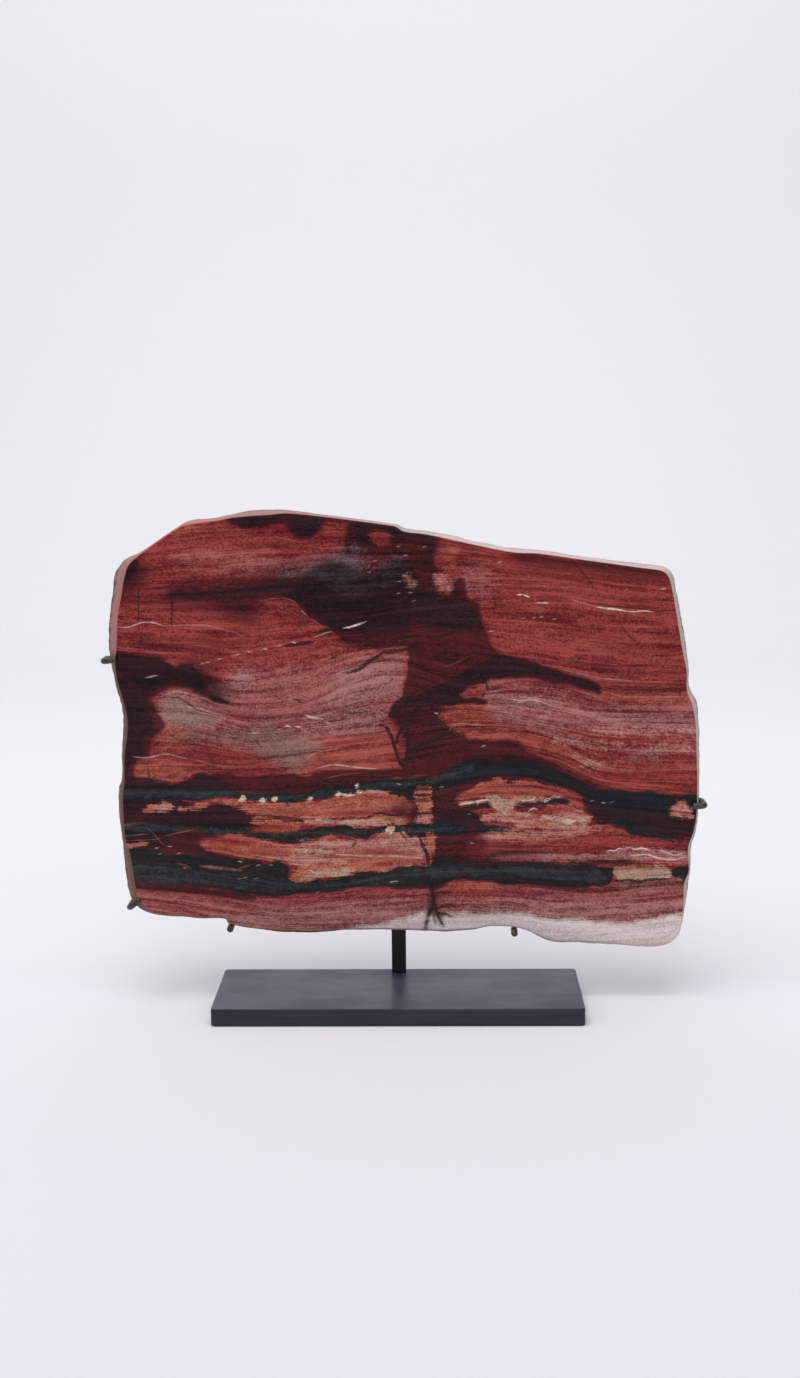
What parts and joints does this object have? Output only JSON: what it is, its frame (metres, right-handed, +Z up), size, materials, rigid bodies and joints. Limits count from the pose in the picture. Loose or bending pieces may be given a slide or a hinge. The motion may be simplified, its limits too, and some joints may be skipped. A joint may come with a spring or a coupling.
{
  "type": "red jasper slab on display stand",
  "caption": "Polished slab of banded red jasper with a rough natural rim, held upright by bent wire prongs on a square post and a flat rectangular metal plate.",
  "frame": {"origin": "centre of the underside of the stand's plate", "axes": "+Z up; +X to the right as seen from the polished face; -Y is the way the polished face looks"},
  "size_m": [0.4149, 0.09, 0.3405],
  "materials": {
    "jasper": "polished face, rough rim",
    "plate_paint": "satin",
    "post_paint": "satin",
    "patinated_bronze": "dark patina"
  },
  "bodies": {
    "root": {"jasper_slab": "jasper", "base_plate": "plate_paint", "post": "post_paint", "arm_left": "patinated_bronze", "arm_right": "patinated_bronze", "arm_corner": "patinated_bronze", "arm_bottom_left": "patinated_bronze", "arm_bottom_right": "patinated_bronze"}
  },
  "joints": []
}
